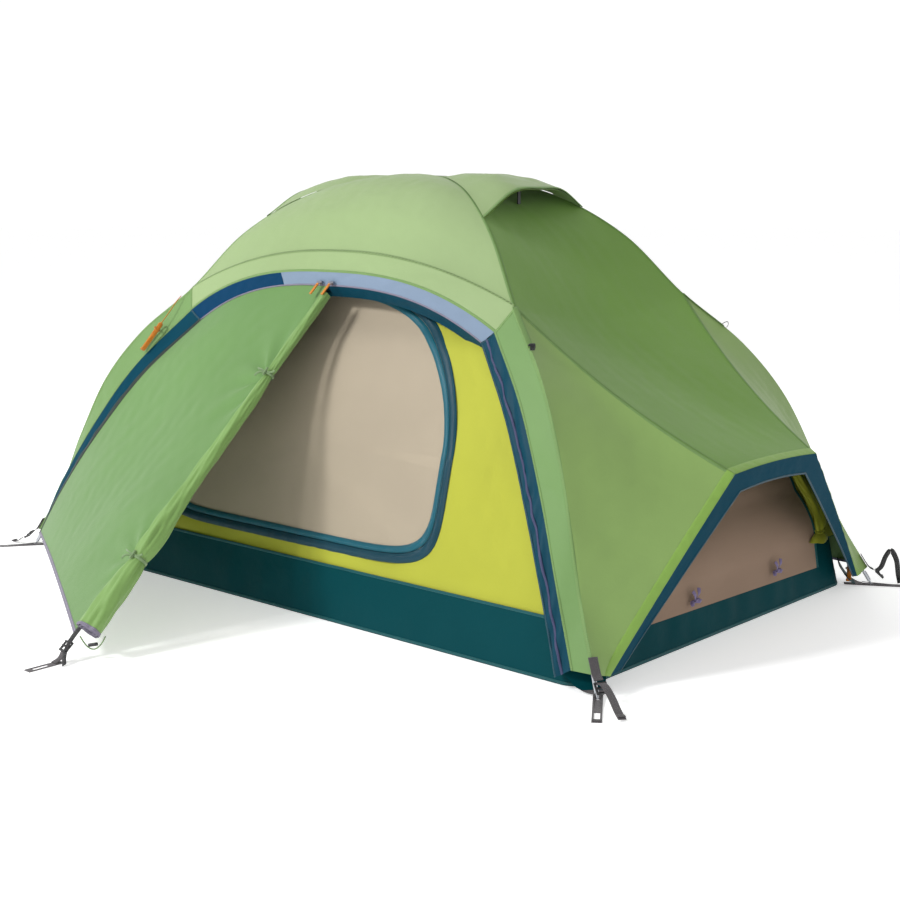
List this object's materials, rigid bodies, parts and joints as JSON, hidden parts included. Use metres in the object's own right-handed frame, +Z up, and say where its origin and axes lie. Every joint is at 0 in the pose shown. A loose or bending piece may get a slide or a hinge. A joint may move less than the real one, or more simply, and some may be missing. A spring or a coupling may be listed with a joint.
{
  "type": "dome tent",
  "caption": "Dome tent on crossing poles with a brow pole, a flysheet with a half-open vestibule, propped roof vents and an inner tent over a tray groundsheet.",
  "frame": {"origin": "on the ground, at the middle of the groundsheet's underside", "axes": "+X along the long side, to the right as seen from the entrance; the entrance and vestibule face -Y; +Z up"},
  "size_m": [2.618, 2.2535, 1.2363],
  "materials": {
    "fly_cloth_light": "light green coated polyester, plain weave, slight sheen",
    "fly_cloth_dark": "the same cloth where it is seen darker on the ends",
    "band_cloth": "blue-grey and teal coated cloth round the openings",
    "groundsheet_cloth": "dark teal waterproof cloth, smooth",
    "inner_cloth": "yellow uncoated breathable nylon",
    "door_cloth": "beige see-through netting and cloth",
    "webbing": "grey woven polyester webbing",
    "black_plastic": "black moulded acetal",
    "pole_metal": "satin anodised tube",
    "zip_metal": "plated zip slider",
    "orange_cord": "orange braided cord"
  },
  "bodies": {
    "tent": {"fly_front_roof": "fly_cloth_light", "fly_front_brow": "fly_cloth_light", "fly_front_leg_right": "fly_cloth_light", "fly_front_leg_left": "fly_cloth_light", "fly_back": "fly_cloth_light", "vent_hood_right": "fly_cloth_light", "vent_hood_left": "fly_cloth_light", "vestibule_left_panel": "fly_cloth_light", "vestibule_roll": "fly_cloth_light", "fly_end_roof_right": "fly_cloth_dark", "fly_end_roof_left": "fly_cloth_dark", "roll_tie_upper": "fly_cloth_dark", "roll_tie_lower": "fly_cloth_dark", "fly_end_wall_right_front": "fly_cloth_dark", "fly_end_wall_right_back": "fly_cloth_dark", "fly_end_wall_left_front": "fly_cloth_dark", "fly_end_wall_left_back": "fly_cloth_dark", "fly_entrance_band": "band_cloth", "fly_end_band_right": "band_cloth", "fly_end_band_left": "band_cloth", "groundsheet": "groundsheet_cloth", "inner_front_wall": "inner_cloth", "inner_back_wall": "inner_cloth", "inner_end_wall_right": "inner_cloth", "inner_end_wall_left": "inner_cloth", "vestibule_strap": "webbing", "corner_strap_front_right": "webbing", "corner_strap_back_right": "webbing", "corner_strap_front_left": "webbing", "corner_strap_back_left": "webbing", "crossing_ring": "black_plastic", "inner_hook_front_right": "black_plastic", "inner_hook_back_right": "black_plastic", "inner_hook_front_left": "black_plastic", "inner_hook_back_left": "black_plastic", "pole_a": "pole_metal", "pole_b": "pole_metal", "pole_brow": "pole_metal", "pole_end_right": "pole_metal", "pole_end_left": "pole_metal", "pole_tip_front_right": "pole_metal", "pole_tip_back_right": "pole_metal", "pole_tip_front_left": "pole_metal", "pole_tip_back_left": "pole_metal", "guyline_lead_front": "orange_cord", "guyline_hank_front": "orange_cord", "guyline_lead_back": "orange_cord", "guyline_hank_back": "orange_cord"},
    "inner_door": {"inner_door": "door_cloth"},
    "vestibule_buckle": {"vestibule_buckle": "black_plastic"},
    "zip_slider_right": {"zip_slider_right": "zip_metal"},
    "zip_slider_left": {"zip_slider_left": "zip_metal"},
    "zip_pull_right": {"zip_pull_right": "orange_cord"},
    "zip_pull_left": {"zip_pull_left": "orange_cord"},
    "vent_prop_right": {"vent_prop_right": "black_plastic"},
    "vent_prop_left": {"vent_prop_left": "black_plastic"},
    "corner_buckle_front_right": {"corner_buckle_front_right": "black_plastic"},
    "corner_buckle_back_right": {"corner_buckle_back_right": "black_plastic"},
    "corner_buckle_front_left": {"corner_buckle_front_left": "black_plastic"},
    "corner_buckle_back_left": {"corner_buckle_back_left": "black_plastic"}
  },
  "joints": [
    {"name": "zip_slide_right", "type": "slide", "parent": "tent", "child": "zip_slider_right", "axis": [0.9986, 0, -0.0528], "range_m": [0, 0.2]},
    {"name": "zip_pull_hinge_right", "type": "hinge", "parent": "zip_slider_right", "child": "zip_pull_right", "pos_m": [0.024, -0.448, 0.91], "axis": [-1, 0, 0], "range_deg": [0, 110]},
    {"name": "vent_prop_hinge_right", "type": "hinge", "parent": "tent", "child": "vent_prop_right", "pos_m": [0.381, 0, 1.1179], "axis": [0, 1, 0], "range_deg": [0, 110], "deforming": ["vent_hood_right"]},
    {"name": "zip_slide_left", "type": "slide", "parent": "tent", "child": "zip_slider_left", "axis": [-0.9986, 0, -0.0528], "range_m": [0, 0.2]},
    {"name": "zip_pull_hinge_left", "type": "hinge", "parent": "zip_slider_left", "child": "zip_pull_left", "pos_m": [-0.024, -0.448, 0.91], "axis": [-1, 0, 0], "range_deg": [0, 110]},
    {"name": "vent_prop_hinge_left", "type": "hinge", "parent": "tent", "child": "vent_prop_left", "pos_m": [-0.381, 0, 1.1179], "axis": [0, -1, 0], "range_deg": [0, 110], "deforming": ["vent_hood_left"]},
    {"name": "inner_door_hinge", "type": "hinge", "parent": "tent", "child": "inner_door", "pos_m": [0, -0.6213, 0.2112], "axis": [-1, 0, 0], "range_deg": [0, 75]},
    {"name": "corner_buckle_hinge_front_right", "type": "hinge", "parent": "tent", "child": "corner_buckle_front_right", "pos_m": [1.1791, -0.7016, 0.044], "axis": [-0.5114, -0.8594, 0], "range_deg": [0, 35]},
    {"name": "corner_buckle_hinge_front_left", "type": "hinge", "parent": "tent", "child": "corner_buckle_front_left", "pos_m": [-1.1791, -0.7016, 0.044], "axis": [-0.5114, 0.8594, 0], "range_deg": [0, 35]},
    {"name": "corner_buckle_hinge_back_right", "type": "hinge", "parent": "tent", "child": "corner_buckle_back_right", "pos_m": [1.1791, 0.7016, 0.044], "axis": [0.5114, -0.8594, 0], "range_deg": [0, 35]},
    {"name": "corner_buckle_hinge_back_left", "type": "hinge", "parent": "tent", "child": "corner_buckle_back_left", "pos_m": [-1.1791, 0.7016, 0.044], "axis": [0.5114, 0.8594, 0], "range_deg": [0, 35]},
    {"name": "vestibule_buckle_hinge", "type": "hinge", "parent": "tent", "child": "vestibule_buckle", "pos_m": [0, -1.34, 0.046], "axis": [-1, 0, 0], "range_deg": [0, 35]}
  ]
}
